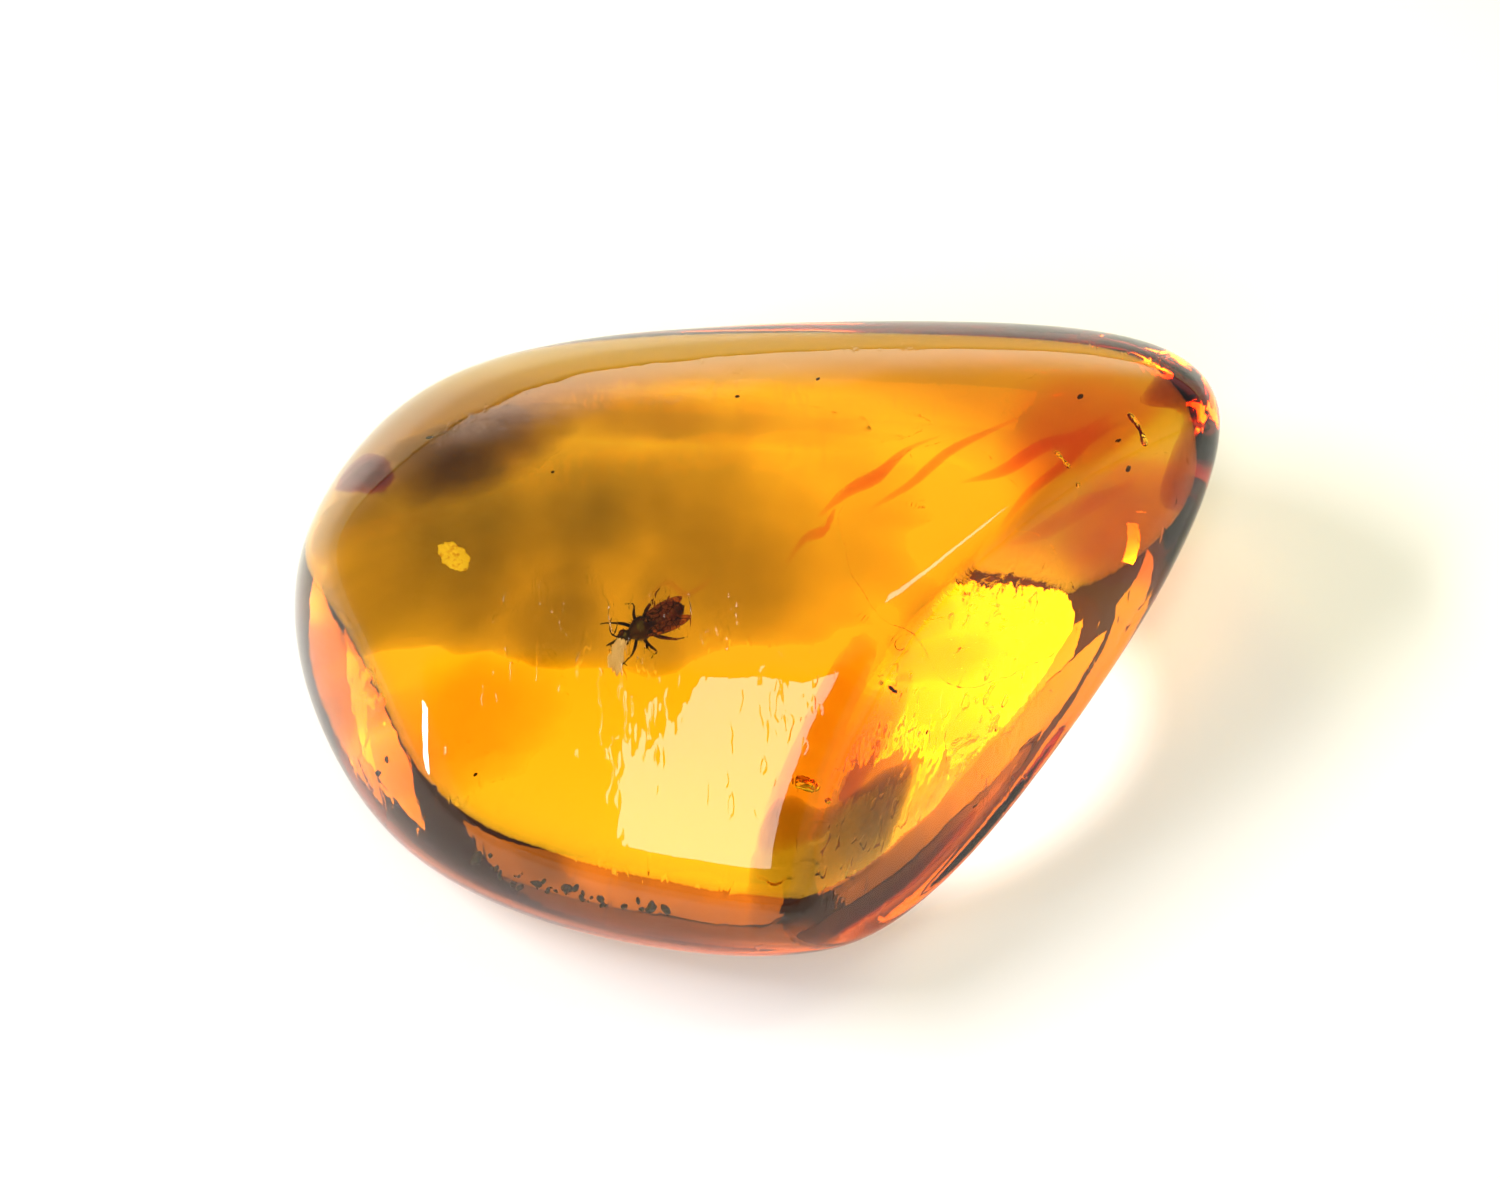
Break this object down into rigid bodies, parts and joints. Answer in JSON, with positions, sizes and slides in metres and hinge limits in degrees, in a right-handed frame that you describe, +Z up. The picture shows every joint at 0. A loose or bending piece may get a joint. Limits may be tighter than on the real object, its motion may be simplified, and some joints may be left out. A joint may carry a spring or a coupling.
{
  "type": "insect in amber",
  "caption": "Polished teardrop pebble of clear golden amber with a tiny insect, bubbles and flow lines sealed inside; loose, it rests on its base.",
  "frame": {"origin": "under the middle of the stone, level with the ground flat that it rests on", "axes": "+X along the longest extent, towards the narrow tip; +Y towards the steep back shoulder; +Z up, through the polished crown"},
  "size_m": [0.0284, 0.0218, 0.0097],
  "materials": {
    "amber": "polished",
    "insect_cuticle": "satin",
    "insect_wing": "satin",
    "gas_bubble": "polished",
    "sun_spangle": "polished",
    "resin_flow": "satin",
    "forest_debris": "matte"
  },
  "bodies": {
    "root": {"amber": "amber"}
  },
  "joints": []
}
